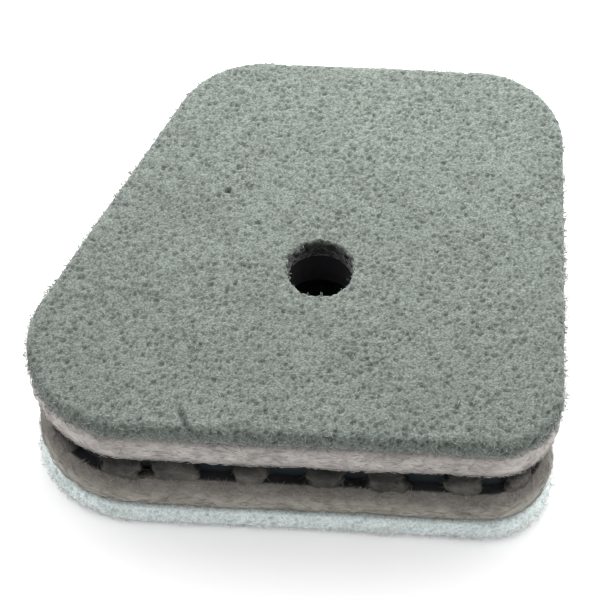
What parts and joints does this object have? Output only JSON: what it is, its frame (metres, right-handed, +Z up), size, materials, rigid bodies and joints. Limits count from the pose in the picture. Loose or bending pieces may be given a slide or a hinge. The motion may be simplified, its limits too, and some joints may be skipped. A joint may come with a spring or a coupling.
{
  "type": "air filter",
  "caption": "Flat two-sided air filter for a small engine: foam and felt on both faces of a hollow plastic core, with a felt edge band and a round centre hole that the clean air leaves by.",
  "frame": {"origin": "On the underside, at the centre of the bounding box, so the filter lies flat on a surface.", "axes": "+Z goes up through the stack, +X runs along the long straight side towards the square end, and +Y goes from the long side to the short side. The slanted side faces -X."},
  "size_m": [0.0822, 0.0732, 0.0285],
  "materials": {
    "foam": "open-cell polyurethane foam, matt grey-green",
    "felt": "needled polyester felt, matt warm grey",
    "band_felt": "loose fuzzy felt, matt grey-beige",
    "core_plastic": "moulded, fine matt, blue-black"
  },
  "bodies": {
    "root": {"lower_foam_pad": "foam", "lower_felt_pad": "felt", "lower_core_grid": "core_plastic", "upper_core_grid": "core_plastic", "core_rim": "core_plastic", "edge_felt_band": "band_felt", "upper_felt_pad": "felt", "upper_foam_pad": "foam"}
  },
  "joints": []
}
